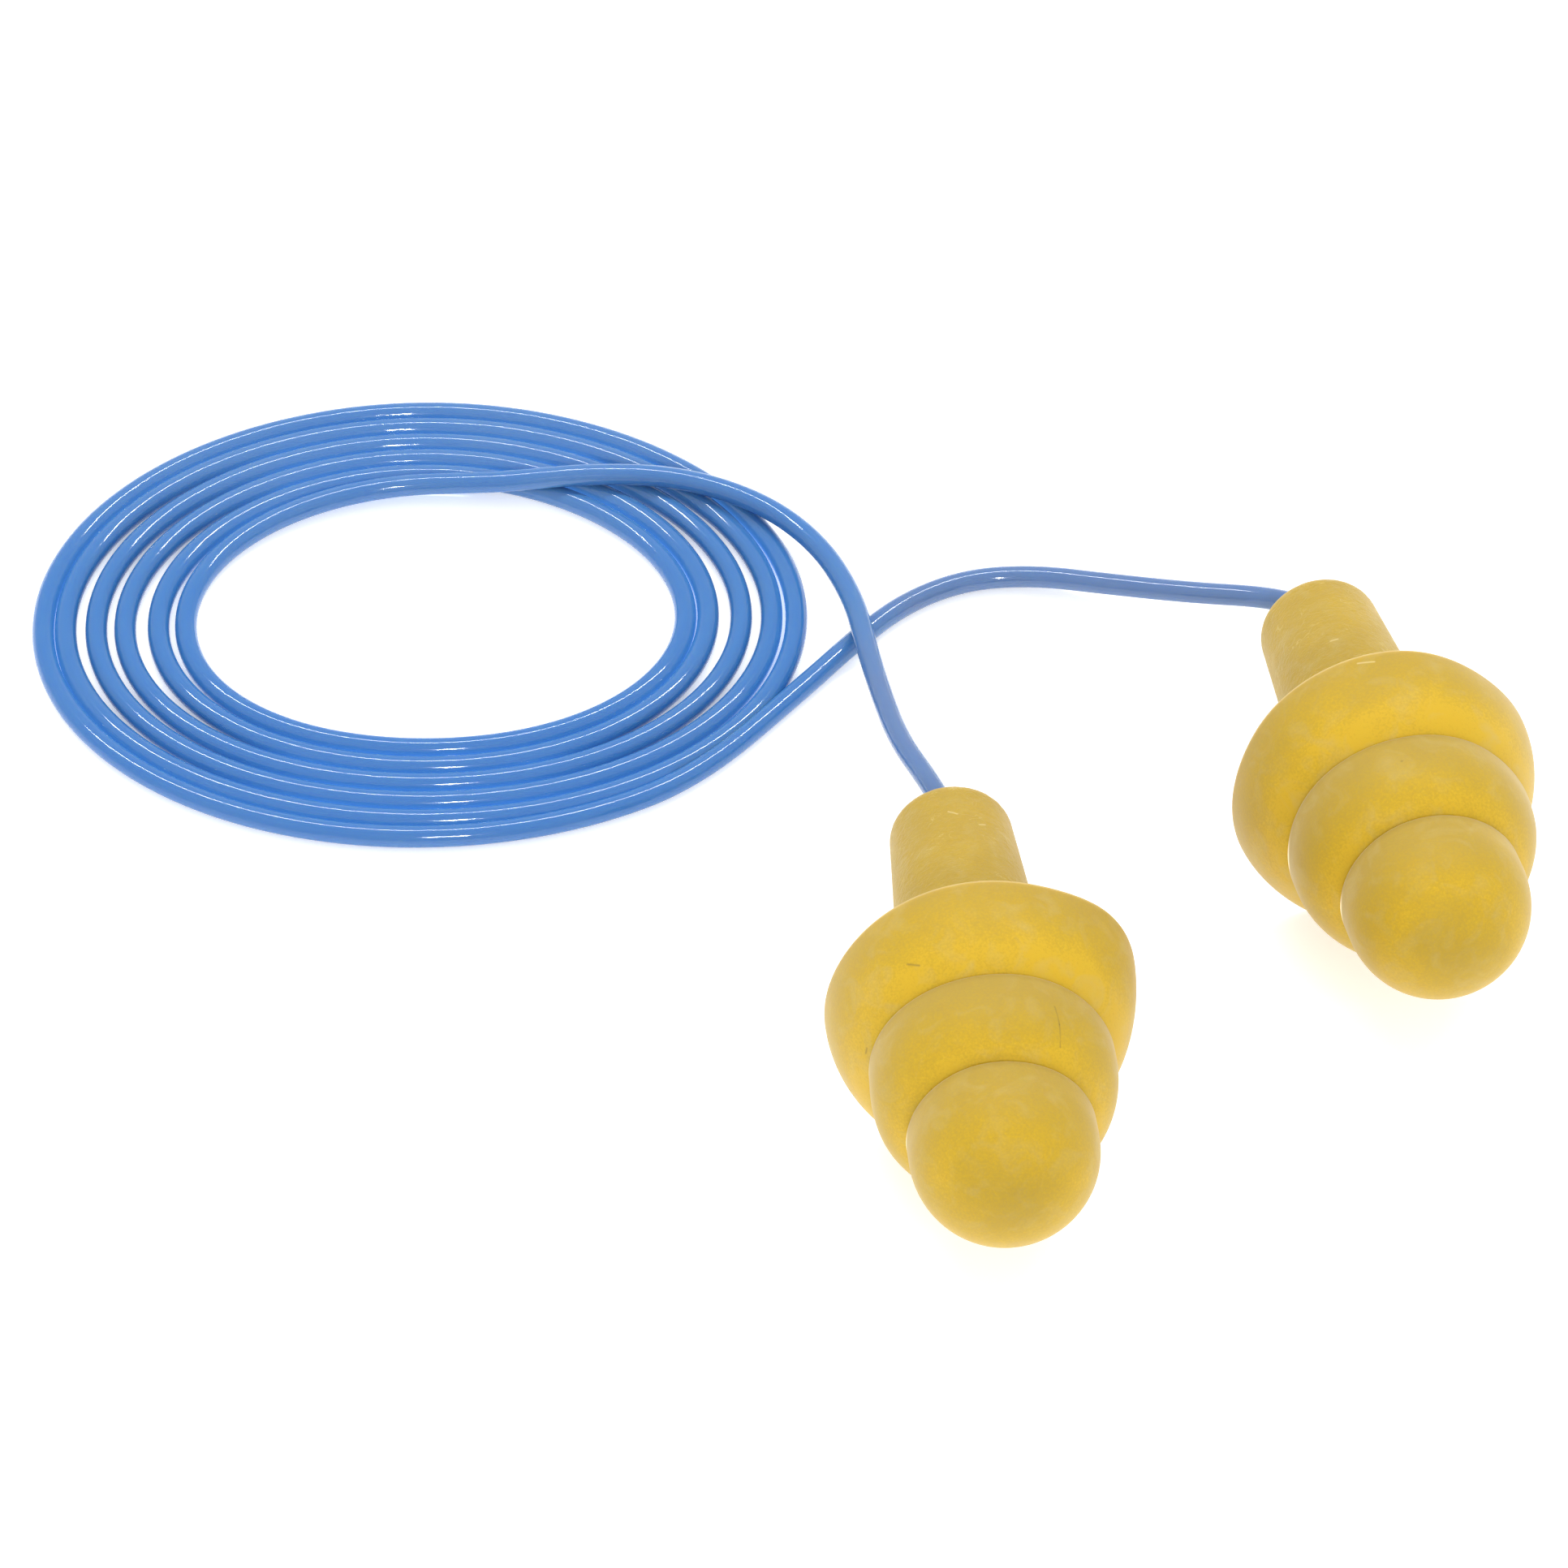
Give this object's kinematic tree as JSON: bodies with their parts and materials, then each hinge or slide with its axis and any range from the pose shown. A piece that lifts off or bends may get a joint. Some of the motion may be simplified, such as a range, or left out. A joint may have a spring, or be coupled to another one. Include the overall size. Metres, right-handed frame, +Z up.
{
  "type": "corded ear plugs",
  "caption": "Flanged reusable ear plugs with finger stems, joined by a thin flexible cord whose slack lies wound in a flat oval coil.",
  "frame": {"origin": "on the surface the plugs lie on, under the middle of the box that holds the two plugs", "axes": "+Z up; -Y is where both tips point, roughly; +X runs from the left plug to the right plug, and the coil lies towards -X"},
  "size_m": [0.0635, 0.0524, 0.0125],
  "materials": {
    "plug_polymer": "matte, slightly translucent",
    "cord_vinyl": "glossy, translucent",
    "adhesive": "glossy, clear"
  },
  "bodies": {
    "root": {"left_plug": "plug_polymer", "left_bond": "adhesive", "left_cord_end": "cord_vinyl", "left_lead": "cord_vinyl", "right_plug": "plug_polymer", "right_bond": "adhesive", "right_cord_end": "cord_vinyl", "right_lead": "cord_vinyl", "cord_coil": "cord_vinyl"}
  },
  "joints": []
}
